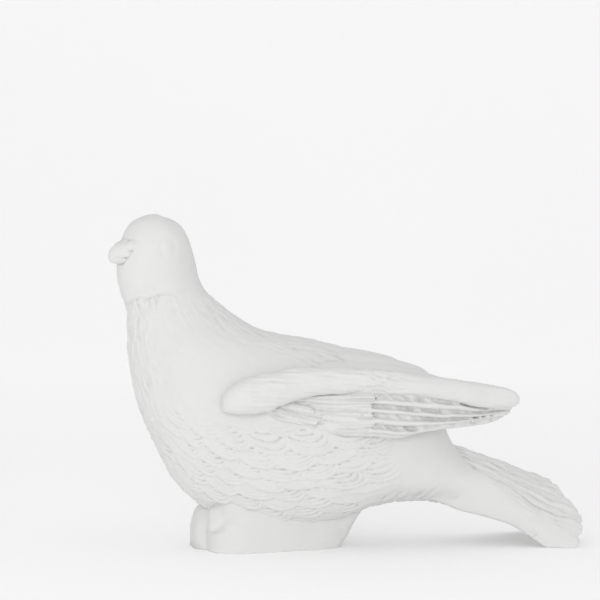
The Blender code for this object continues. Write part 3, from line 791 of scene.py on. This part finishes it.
def beak():
    """Short blunt beak: an oval carried along the head's line, turned with it afterwards."""
    tip = HEAD_X - BEAK_REACH
    return oval((
        (tip + 7.4, 0, HEAD_Z + 0.3, 4.6, 3.7, 0),
        (tip + 6.0, 0, HEAD_Z + 0.1, 4.0, 3.3, 0),
        (tip + 4.4, 0, HEAD_Z, 3.2, 2.8, 0),
        (tip + 2.8, 0, HEAD_Z - 0.3, 2.3, 2.25, 0),
        (tip + 1.5, 0, HEAD_Z - 0.6, 1.75, 1.9, 0),
        (tip + 0.6, 0, HEAD_Z - 0.9, 1.2, 1.45, 0),
        (tip + 0.15, 0, HEAD_Z - 1.1, 0.6, 0.8, 0),
        (tip, 0, HEAD_Z - 1.2, 0.2, 0.25, 0),
    ), 120, 120, 2.2)


def mouth(grid):
    """The beak with the line of the mouth pressed in: a narrow dip along its length."""
    tip = HEAD_X - BEAK_REACH
    line = HEAD_Z - 1.35 - 0.06 * (grid[..., 0] - tip)
    off = (grid[..., 2] - line) / 0.22
    dip = 0.42 * np.exp(-off ** 2) * ease(tip + 0.3, tip + 1.4, grid[..., 0])
    dip = dip * ease(tip + 5.2, tip + 3.4, grid[..., 0])
    return grid - outward(grid) * dip[..., None]


def head_lumps(turn):
    """Low tuft at the nape, eyeballs and swellings over the beak's root: fused ellipsoids."""
    made = [ball((-11.3, -0.6, 49.55), (1.9, 1.5, 0.5), -0.72)]
    for side in (-1, 1):
        eye = ball((EYE[0], side * EYE[1], EYE[2]), (1.35, 0.75, 1.6))
        swelling = ball((HEAD_X - 6.5, side * 2.3, HEAD_Z + 1.1), (1.8, 1.2, 1.1), 0.15)
        made += [turned(eye, turn), turned(swelling, turn)]
    return made


def cape_feather(start, end, height, away, half, drop):
    """One long rounded feather of the cape, from the shoulder back to its tip."""
    roll = 0.45
    return oval((
        (start, -away, height + 0.4, 0.5, 0.4, roll),
        (start + 2, -away, height + 0.4, 0.9 * half, 1.5, roll),
        ((start + end) / 2, -away, height - 0.2 * drop, half, 1.8, roll),
        (end - 4.0, -away, height - 0.62 * drop, 0.92 * half, 1.5, roll),
        (end - 1.4, -away, height - 0.92 * drop, 0.66 * half, 1.15, roll),
        (end - 0.3, -away, height - drop, 0.3 * half, 0.8, roll),
        (end, -away, height - drop, 0.1 * half, 0.4, roll),
    ), 200, 120)


def tail(figure, share, rows=420, columns=460):
    """Roof-shaped tail: feathers side by side on top, plain sides, arched underside.

    It rolls a little, so that only its near corner touches the ground.  The carving of the top
    and of the sides is added by tail_relief.
    """
    along = np.linspace(0, 1, rows)[:, None]
    across = np.linspace(-1, 1, columns)[None, :]
    away = np.abs(across)
    end_at = np.asarray(TAIL_END, float)
    reach = np.interp(away, end_at[:, 0], end_at[:, 1])
    lane = np.clip(away / TAIL_SIDE, 0, 0.999) * TAIL_FEATHERS
    between_lanes = np.abs(2 * (lane - np.floor(lane)) - 1)
    reach = reach - TAIL_NOTCH * between_lanes ** 3 * (away < TAIL_SIDE)
    table = np.asarray(TAIL, float)
    x = table[0, 0] + along * (reach - table[0, 0])
    ridge, half, edge, corner, under = (np.interp(x, table[:, 0], table[:, k]) for k in range(1, 6))

    on_top = np.clip(away / TAIL_SIDE, 0, 1)
    on_side = np.clip((away - TAIL_SIDE) / (1 - TAIL_SIDE), 0, 1)
    y = 0.97 * half * on_top
    top_z = ridge + (edge - ridge) * (0.35 * on_top + 0.65 * on_top ** 2.2)
    y = y + (half - y) * on_side
    z = top_z + (corner - top_z) * on_side

    side = np.sign(across) + (across == 0)
    lift, bulge = tail_relief(figure, share, x, z, along, lane, on_side, side)
    z = z + lift
    y = y + bulge
    low_y = (half - 0.8) * away
    low_z = under + (corner - under) * away ** 2
    low_z = np.minimum(low_z, top_z - 2.2)
    low_z = low_z + (corner - low_z) * ease(0.8, 1.0, away)
    low_z = low_z + 0.10 * noise(lane * 8, x * 0.3, 22)
    fade = ease(0.94, 1.0, along)
    middle = (z + low_z) / 2
    z = z + 0.5 * (middle - z) * fade
    low_z = low_z + 0.5 * (middle - low_z) * fade
    roll = TAIL_ROLL * np.clip(across, 0, 1) * ease(44, 57, x)
    z = z + roll
    low_z = low_z + roll
    upper = np.stack([x, y * side, z], axis=-1)
    lower = np.stack([x, low_y * side, low_z], axis=-1)[:, ::-1]
    return np.concatenate([upper, lower], axis=1)


def tail_relief(figure, share, x, z, along, lane, on_side, side):
    """Carving of the tail: lift of its top and bulge of its sides.

    The top has a swell and two shafts for each feather, broken by fine strokes; the sides swell
    like a half sine, with a fringe of short slanting grooves along their lower edge.
    """
    stroke = figure.stroke_depth / share
    bent = lane + 0.07 * np.sin(x * 0.4 + 2 * lane)
    part = bent - np.floor(bent)
    crown = 1 - np.abs(2 * part - 0.9) ** 1.6
    shaft = np.exp(-((part - 0.40) / 0.09) ** 2)
    second = np.exp(-((part - 0.90) / 0.08) ** 2)
    strokes = noise(bent * 9 + 40 * side, x * 0.16 + 3 * np.sin(bent), 20)
    fine = noise(bent * 16 + 40 * side + 0.4 * np.sin(x * 0.6), x * 0.40, 21)
    breaks = 0.6 + 0.5 * noise(bent * 3 + 20 * side, x * 0.6, 24)
    on_top = (1 - ease(0, 0.06, on_side)) * ease(0.10, 0.30, along)
    lift = 0.60 * crown + (0.75 * shaft + 0.70 * second) * breaks
    lift = lift + stroke * (1.3 * strokes + 1.1 * fine)
    fringe = ease(0.3, 0.8, on_side) * (1 - ease(0.97, 1.0, on_side)) * ease(0.85, 0.7, along)
    slant = np.abs(noise(x * 0.8 - z * 0.8, z * 0.3 + x * 0.1, 23))
    brow = 0.5 * np.sin(math.pi * np.clip(on_side, 0, 1))
    return lift * on_top, brow * (on_side > 0) - 6.0 * stroke * fringe * slant


# Wings

def spread_at(x):
    """How far the wing's middle stands from the bird's middle plane."""
    return WING_SPREAD + (WING_TIP_SPREAD - WING_SPREAD) * ease(18, 46, x)


def band_lines():
    """The leading band's x, distance out, middle z, half height and half thickness, row by row."""
    x, top, bottom, thick, reach = np.transpose(BAND)
    return x, spread_at(x) * reach, (top + bottom) / 2, (top - bottom) / 2, thick


def leading_band(wings, share):
    """Thick rounded front edge of the wing, carried from its nose to its tip, with faint strokes."""
    x, spread, middle, height, thick = band_lines()
    lean = 0.35 * ease(34, 42, x)
    grid = oval(np.stack([x, -spread, middle, thick, height, lean], axis=-1), 520, 190, 2.2)
    x = grid[..., 0]
    z = grid[..., 2]
    barb = wings.barb_depth / share
    strokes = noise(z * 2.4 + 0.15 * x, x * 0.28, 31)
    where = ease(-12, -4, x) * (1 - 0.6 * ease(20, 30, x))
    star = noise((z + 0.35 * x) * 3.2, (x - z) * 0.5, 32) * np.exp(-((x - 17.5) / 4.5) ** 2)
    dents = noise(x * 0.5, z * 0.6, 33)
    relief = barb * (0.45 * strokes * where + 0.6 * star) + 0.05 * dents
    return grid + outward(grid) * relief[..., None]


def feather_sheet(wings, share):
    """Hanging sheet of feathers behind the band, its outer face carved by wing_relief."""
    band_x, spread, middle, _, _ = band_lines()
    sheet = spline(SHEET, 620)
    down = np.linspace(0, 1, 190)[None, :]
    x = sheet[:, 0:1] + 0 * down
    top = np.interp(x, band_x, middle)
    z = top + (sheet[:, 1:2] - top) * down
    out = np.interp(x, band_x, spread)
    sink = SHEET_SINK * (1 - ease(3, 15, x))
    outer = out + 0.2 - (sheet[:, 2:3] + 0.2) * down - sink * (1 - 0.35 * down)
    outer = outer - SHEET_TOP_SINK * (1 - down) ** 2 * (1 - ease(8, 15, x))
    thick = np.interp(x, [0, 34, 40, 46], [2.4, 2.2, 1.7, 1.4])
    inner = outer - thick * (1 - 0.4 * down)
    relief = wing_relief(wings, share, x, z) * ease(0.06, 0.2, down)
    outer = outer + relief * (1 - 0.5 * ease(0.9, 1.0, down))
    inner = inner - 0.5 * relief * ease(14, 22, x)
    turn = np.clip((down - 0.88) / 0.12, 0, 1)
    pinch = 0.8 * (1 - np.sqrt(1 - turn ** 2))
    centre = (outer + inner) / 2
    outer = outer + (centre - outer) * pinch
    inner = inner + (centre - inner) * pinch
    near = np.stack([x, -outer, z], axis=-1)
    far = np.stack([x, -inner, z], axis=-1)[:, ::-1]
    return np.concatenate([near, far], axis=1)


def wing_relief(wings, share, x, z):
    """Height of the wing's carving at x and z.

    Between two shafts the surface climbs to the lower one and drops behind it, with strokes
    across it that slant back and down.  Over that lie the short feathers: each is a leaf shape
    about its middle line that climbs to a rounded tip and carries strokes along it.
    """
    levels = [np.interp(x, *np.transpose(shaft)) for shaft in SHAFTS]
    levels = [levels[0] + 2.0] + levels + [levels[-1] - 2.0]
    step = wings.shaft_step / share
    barb = wings.barb_depth / share
    height = np.zeros_like(x)
    for upper, lower in zip(levels[:-1], levels[1:]):
        part = (upper - z) / np.maximum(upper - lower, 1e-3)
        inside = (part >= 0) & (part < 1)
        part = part + 0.05 * noise(x * 0.4, upper * 0.8, 40)
        ridge = np.exp(-((part - 0.72) / 0.27) ** 4)
        climb = 0.15 * np.clip(part, 0, 1) ** 1.5 + 0.85 * ridge
        slant = noise(x * 0.5 - part * 3.6, x * 0.22 + part * 0.9 + upper, 41)
        fine = noise(x * 1.2 - part * 5.0, x * 0.3 + part * 0.8 + upper, 42)
        shape = step * climb + barb * (0.7 * slant + 0.9 * fine) * (1 - 0.85 * ridge)
        height = np.where(inside, shape, height)
    for root_x, root_z, tip_x, tip_z, half, proud in LEAVES:
        leaf = (root_x, root_z, tip_x, tip_z, half, proud * wings.leaf_step / share)
        height = over_leaf(height, x, z, leaf, barb)
    return height


def over_leaf(height, x, z, leaf, barb):
    """The height with one short feather laid over it."""
    root_x, root_z, tip_x, tip_z, half, proud = leaf
    reach = math.hypot(tip_x - root_x, tip_z - root_z)
    along_x = (tip_x - root_x) / reach
    along_z = (tip_z - root_z) / reach
    along = (x - root_x) * along_x + (z - root_z) * along_z
    aside = ((z - root_z) * along_x - (x - root_x) * along_z) / half
    widen = 0.45 + 0.55 * ease(0, 0.5, along / reach)
    blunt = np.clip((along - reach + 1.5 * half) / (1.5 * half), 0, 1)
    outline = widen * np.sqrt(np.clip(1 - blunt ** 2, 0, 1))
    inward = np.minimum((outline - np.abs(aside)) * half, 1.3 * (reach - along))
    cover = ease(-0.05, 0.42, inward) * ease(0.0, 1.2, along)
    crown = np.clip(1 - (aside / np.maximum(outline, 0.05)) ** 2, 0, 1)
    strokes = noise(aside * 2.9 / widen + root_x * 7 + root_z * 13, along * 0.07, 43)
    strokes = strokes + 0.4 * noise(aside * 5.5 / widen + root_x * 5, along * 0.15, 44)
    shape = proud * (0.25 + 0.75 * np.clip(along / reach, 0, 1) ** 1.6)
    shape = shape + 0.45 * crown + 1.3 * barb * strokes
    return height + (shape - height) * cover


# Plinth and feet

def plinth(share, rows=160, columns=520):
    """Low block under the breast, wide at the front, its rear face leaning out to the top."""
    across, beside = squared_circle(columns, PLINTH_CORNER)
    level = np.linspace(-CUT_DEPTH, PLINTH_REACH, rows)[:, None]
    rear = PLINTH_FRONT + PLINTH_LENGTH + PLINTH_LEAN * np.clip(level, 0, None)
    middle = (rear + PLINTH_FRONT) / 2
    x = middle + (rear - PLINTH_FRONT) / 2 * across
    place, width = np.transpose(PLINTH_PLAN)
    plan = spline(np.stack([PLINTH_FRONT + PLINTH_LENGTH * place, width], axis=1), 200)
    half = np.interp(x, plan[:, 0], plan[:, 1]) / 2
    grid = np.stack([x, half * beside, level + 0 * x], axis=-1) / share
    uneven = noise(grid[..., 0] * 0.28, grid[..., 2] * 0.3 + grid[..., 1] * 0.2, 51)
    return grid + outward(grid) * (0.12 * uneven * ease(0, 3, grid[..., 2]))[..., None]


def far_foot(share, rows=160, columns=320):
    """Block under the right foot, a step ahead, drawn in above and rippled there like claws."""
    across, beside = squared_circle(columns, PLINTH_CORNER)
    level = np.linspace(-CUT_DEPTH, FAR_FOOT_HEIGHT, rows)[:, None]
    rise = level / FAR_FOOT_HEIGHT
    squeeze = 1 - 0.08 * ease(0.48, 0.62, rise) - 0.5 * ease(0.62, 1.05, rise) ** 2
    reach = FAR_FOOT_AHEAD + 0.010
    x = PLINTH_FRONT + 0.010 + reach * across * squeeze
    y = 0.34 * FAR_FOOT_WIDTH + FAR_FOOT_WIDTH / 2 * beside * squeeze
    grid = np.stack([x, y, level + 0 * x], axis=-1) / share
    claws = np.sin(1.9 * grid[..., 1] + 1.4 * grid[..., 2] + 0.8 * grid[..., 0])
    return grid + outward(grid) * (0.18 * claws * ease(0.5, 0.65, rise))[..., None]


def toes(share):
    """Toes at the plinth's front: ellipsoids that fuse with it."""
    front = PLINTH_FRONT / share
    ahead = FAR_FOOT_AHEAD / share
    return [
        ball((-11.9, -7.4, 6.7), (3.4, 2.5, 1.7), 0.7),
        ball((-12.6, -6.8, 8.0), (1.9, 2.2, 1.7)),
        ball((-8.5, -5.0, 9.6), (4.4, 4.0, 2.6), 0.3),
        ball((front - ahead + 4.2, 1.2, 7.0), (3.2, 2.1, 2.5), 0.6),
        ball((front - ahead + 4.6, 5.4, 6.8), (3.2, 2.1, 2.5), 0.6),
    ]


# Materials

class Shade:
    """A socket whose arithmetic adds Math nodes."""

    def __init__(self, board, socket):
        self.board = board
        self.socket = socket

    def maths(self, operation, first, second):
        node = self.board.node("ShaderNodeMath", {"operation": operation}, {0: first, 1: second})
        return Shade(self.board, node.outputs[0])

    def __add__(self, other):
        return self.maths("ADD", self, other)

    def __radd__(self, other):
        return self.maths("ADD", other, self)

    def __sub__(self, other):
        return self.maths("SUBTRACT", self, other)

    def __rsub__(self, other):
        return self.maths("SUBTRACT", other, self)

    def __mul__(self, other):
        return self.maths("MULTIPLY", self, other)

    def __rmul__(self, other):
        return self.maths("MULTIPLY", other, self)

    def between(self, low, high):
        """Goes smoothly from 0 at low to 1 at high."""
        settings = {"interpolation_type": "SMOOTHSTEP"}
        values = {"Value": self, "From Min": low, "From Max": high}
        node = self.board.node("ShaderNodeMapRange", settings, values)
        return Shade(self.board, node.outputs["Result"])


class Board:
    """Node tree of one material."""

    def __init__(self, name):
        self.material = bpy.data.materials.new(name)
        self.material.use_nodes = True
        self.tree = self.material.node_tree
        self.shader = self.tree.nodes["Principled BSDF"]
        self.place = self.node("ShaderNodeTexCoord", {}, {}).outputs["Object"]

    def node(self, kind, settings, values):
        """New node of a kind, its settings made first and then its sockets' values or links."""
        made = self.tree.nodes.new(kind)
        for key, value in settings.items():
            setattr(made, key, value)
        self.set(made, values)
        return made

    def set(self, node, values):
        """Feeds a node's sockets by name or number."""
        for key, value in values.items():
            self.feed(node.inputs[key], value)

    def feed(self, socket, value):
        """Sets the socket to a value, or links it to a shade or another socket."""
        if isinstance(value, Shade):
            value = value.socket
        if isinstance(value, bpy.types.NodeSocket):
            self.tree.links.new(value, socket)
        else:
            socket.default_value = value

    def noise(self, scale, detail, roughness):
        """Noise texture read at the place on the object."""
        values = {"Vector": self.place, "Scale": scale, "Detail": detail, "Roughness": roughness}
        node = self.node("ShaderNodeTexNoise", {}, values)
        return Shade(self, node.outputs["Fac"])

    def mix(self, share, first, second):
        """Colour between two, by a share from 0 to 1."""
        values = {"Factor": share, "A": first, "B": second}
        made = self.tree.nodes.new("ShaderNodeMix")
        made.data_type = "RGBA"
        for socket in made.inputs:
            if socket.enabled and socket.name in values:
                self.feed(socket, values[socket.name])
        return next(socket for socket in made.outputs if socket.enabled)


def white_stone():
    """Matt white cast stone: painted shade in the carving's hollows, faint mottling, fine grain and
    pinholes.
    """
    known = bpy.data.materials.get("white_stone_carved")
    if known:
        return known
    finish = bpy.context.scene.stone_finish
    board = Board("white_stone_carved")
    # Depth of each point in the carving's hollows, read to paint shade into the stone's colour
    depth = board.node("ShaderNodeAttribute", {"attribute_name": "hollow"}, {})
    hollow = Shade(board, depth.outputs["Fac"])
    cloud = board.noise(*CLOUD)
    grain = board.noise(*GRAIN)
    dust = board.noise(*DUST)
    cells = {"Vector": board.place, "Scale": PINHOLES}
    holes = board.node("ShaderNodeTexVoronoi", {"feature": "F1"}, cells)
    pin = (1 - Shade(board, holes.outputs["Distance"]).between(0.05, 0.22)) * dust.between(0.5, 0.62)

    # Painted shade in the hollows, mixed with random mottling, dust and pinholes, darkens the colour
    # towards the painted shade colour
    shade_and_mottle = hollow.between(0.06, 0.90) * 0.75 + (cloud - 0.5) * 0.22 + (dust - 0.5) * 0.12 + pin * 0.12
    colour = board.mix(shade_and_mottle, (*finish.colour, 1.0), (*finish.painted_shade_colour, 1.0))
    rough = finish.roughness + (grain - 0.5) * 0.10
    height = grain * 0.7 + dust * 0.6 - pin * 0.8
    heights = {"Strength": 0.6, "Distance": finish.grain, "Height": height}
    bump = board.node("ShaderNodeBump", {}, heights)
    board.set(board.shader, {
        "Base Color": colour,
        "Roughness": rough,
        "Normal": bump.outputs["Normal"],
        "IOR": 1.45,
        "Specular IOR Level": 0.3,
    })
    board.material.diffuse_color = (*finish.colour, 1.0)
    return board.material


def pale_floor():
    """Plain floor with a breath of tone, so that it isn't one dead colour."""
    studio = bpy.context.scene.dove_studio
    board = Board("pale_floor")
    cloud = board.noise(2.2, 2.0, 0.5)
    colour = tuple(studio.floor_colour)
    darker = tuple(0.985 * value for value in colour)
    board.set(board.shader, {
        "Base Color": board.mix(cloud, (*colour, 1.0), (*darker, 1.0)),
        "Roughness": 0.9,
        "Specular IOR Level": 0.1,
        "Emission Color": (1.0, 1.0, 1.0, 1.0),
        "Emission Strength": studio.floor_glow,
    })
    return board.material


# Operators

class DOVE_OT_body(bpy.types.Operator):
    """Carves the head, the body, the cape and the tail in one skin"""

    bl_idname = "dove.body"
    bl_label = "Dove Body"

    def execute(self, context):
        figure = context.scene.dove_figure
        share = figure.share()
        root = oval(WING_ROOT, 160, 120)
        capes = [cape_feather(*row) for row in CAPE]
        sides = [root] + capes
        grids = [trunk(figure, share), tail(figure, share), turned(mouth(beak()), figure.head_turn)]
        grids += sides + [mirrored(grid) for grid in sides] + head_lumps(figure.head_turn)
        carved("dove_body", grids, share, figure.detail, figure.triangles, tail_join)
        return {"FINISHED"}


class DOVE_OT_wings(bpy.types.Operator):
    """Carves the two wings, each a thick band with a sheet of feathers behind it"""

    bl_idname = "dove.wings"
    bl_label = "Wings"

    def execute(self, context):
        wings = context.scene.dove_wings
        share = context.scene.dove_figure.share()
        grids = [leading_band(wings, share), feather_sheet(wings, share)]
        carved("wing_left", grids, share, wings.detail, wings.triangles)
        others = [mirrored(grid) for grid in grids]
        carved("wing_right", others, share, wings.detail, wings.triangles)
        return {"FINISHED"}


class DOVE_OT_plinth(bpy.types.Operator):
    """Makes the low plinth with the toes at its front"""

    bl_idname = "dove.plinth"
    bl_label = "Plinth"

    def execute(self, context):
        figure = context.scene.dove_figure
        share = figure.share()
        grids = [plinth(share), far_foot(share)] + toes(share)
        carved("plinth", grids, share, figure.detail, PLINTH_TRIANGLES, toe_join)
        return {"FINISHED"}


class DOVE_OT_studio(bpy.types.Operator):
    """Sets up the pale floor with its rising backdrop, the soft lights and the camera"""

    bl_idname = "dove.studio"
    bl_label = "Studio"

    def execute(self, context):
        studio = context.scene.dove_studio
        self.floor()
        self.lights(context, studio)
        self.camera(context)
        context.scene.view_settings.view_transform = "Standard"
        return {"FINISHED"}

    def floor(self):
        """Flat floor that rises behind the object in a quarter circle: one profile, swept across."""
        turn = np.linspace(0, math.pi / 2, 24)
        rise = FLOOR_BACK + FLOOR_RISE * np.sin(turn)
        away = np.concatenate([[FLOOR_FRONT], rise, [FLOOR_BACK + FLOOR_RISE]])
        up = np.concatenate([[0.0], FLOOR_RISE * (1 - np.cos(turn)), [FLOOR_TOP]])
        across = np.linspace(-FLOOR_SIDE, FLOOR_SIDE, 9)
        grid = np.stack(np.broadcast_arrays(across[None, :], away[:, None], up[:, None]), axis=-1)
        cos = math.cos(CAMERA_TURN)
        sin = math.sin(CAMERA_TURN)
        x = grid[..., 0] * cos + grid[..., 1] * sin
        y = grid[..., 1] * cos - grid[..., 0] * sin
        points = np.stack([x, y, grid[..., 2]], axis=-1).reshape(-1, 3)
        index = np.arange(len(points)).reshape(len(away), len(across))
        quads = np.stack([index[:-1, :-1], index[:-1, 1:], index[1:, 1:], index[1:, :-1]], axis=-1)
        mesh = bpy.data.meshes.new("floor")
        mesh.from_pydata(points.tolist(), [], quads.reshape(-1, 4).tolist())
        mesh.polygons.foreach_set("use_smooth", np.ones(len(mesh.polygons), bool))
        mesh.materials.append(pale_floor())
        thing = bpy.data.objects.new("floor", mesh)
        bpy.context.scene.collection.objects.link(thing)

    def lights(self, context, studio):
        """An even light from all sides and the soft lamps."""
        world = bpy.data.worlds.new("studio")
        world.use_nodes = True
        world.node_tree.nodes["Background"].inputs["Color"].default_value = (1.0, 1.0, 1.0, 1.0)
        world.node_tree.nodes["Background"].inputs["Strength"].default_value = studio.sky
        context.scene.world = world
        for name, size, place, target in LAMPS:
            self.lamp(context, name, getattr(studio, name), size, place, target)

    def lamp(self, context, name, power, size, place, target):
        """Rectangular soft light at a place, facing a target."""
        data = bpy.data.lights.new(name, "AREA")
        data.energy = power
        data.shape = "RECTANGLE"
        data.size, data.size_y = size
        thing = bpy.data.objects.new(name, data)
        thing.location = place
        thing.rotation_euler = (Vector(target) - Vector(place)).to_track_quat("-Z", "Y").to_euler()
        context.scene.collection.objects.link(thing)

    def camera(self, context):
        """Level camera with the photograph's place, turn and lens."""
        data = bpy.data.cameras.new("camera")
        data.lens = CAMERA_LENS
        data.sensor_width = CAMERA_SENSOR
        data.clip_end = 30.0
        thing = bpy.data.objects.new("camera", data)
        thing.location = CAMERA_PLACE
        thing.rotation_euler = (math.pi / 2, 0.0, -CAMERA_TURN)
        context.scene.collection.objects.link(thing)
        context.scene.camera = thing


class DOVE_PT_panel(bpy.types.Panel):
    """Lists the steps and their sizes"""

    bl_idname = "DOVE_PT_panel"
    bl_label = "Dove Statue"
    bl_space_type = "VIEW_3D"
    bl_region_type = "UI"
    bl_category = "Dove"

    def draw(self, context):
        layout = self.layout
        for title, group, operators in STEPS:
            box = layout.box()
            box.label(text=title)
            settings = getattr(context.scene, group)
            for name in type(settings).__annotations__:
                box.prop(settings, name)
            for operator in operators:
                box.operator(operator)


STEPS = (
    ("Figure", "dove_figure", ("dove.body", "dove.plinth")),
    ("Wings", "dove_wings", ("dove.wings",)),
    ("Stone", "stone_finish", ()),
    ("Studio", "dove_studio", ("dove.studio",)),
)
GROUPS = {
    "dove_figure": DoveFigure,
    "dove_wings": DoveWings,
    "stone_finish": StoneFinish,
    "dove_studio": DoveStudio,
}
CLASSES = tuple(GROUPS.values()) + (
    DOVE_OT_body, DOVE_OT_wings, DOVE_OT_plinth, DOVE_OT_studio, DOVE_PT_panel)


def register():
    for one in CLASSES:
        bpy.utils.register_class(one)
    for name, group in GROUPS.items():
        setattr(bpy.types.Scene, name, bpy.props.PointerProperty(type=group))


def unregister():
    for name in GROUPS:
        delattr(bpy.types.Scene, name)
    for one in reversed(CLASSES):
        bpy.utils.unregister_class(one)


def main():
    """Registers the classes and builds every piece."""
    register()
    for _, _, operators in STEPS:
        for operator in operators:
            group, step = operator.split(".")
            getattr(getattr(bpy.ops, group), step)()


if __name__ == "__main__":
    main()
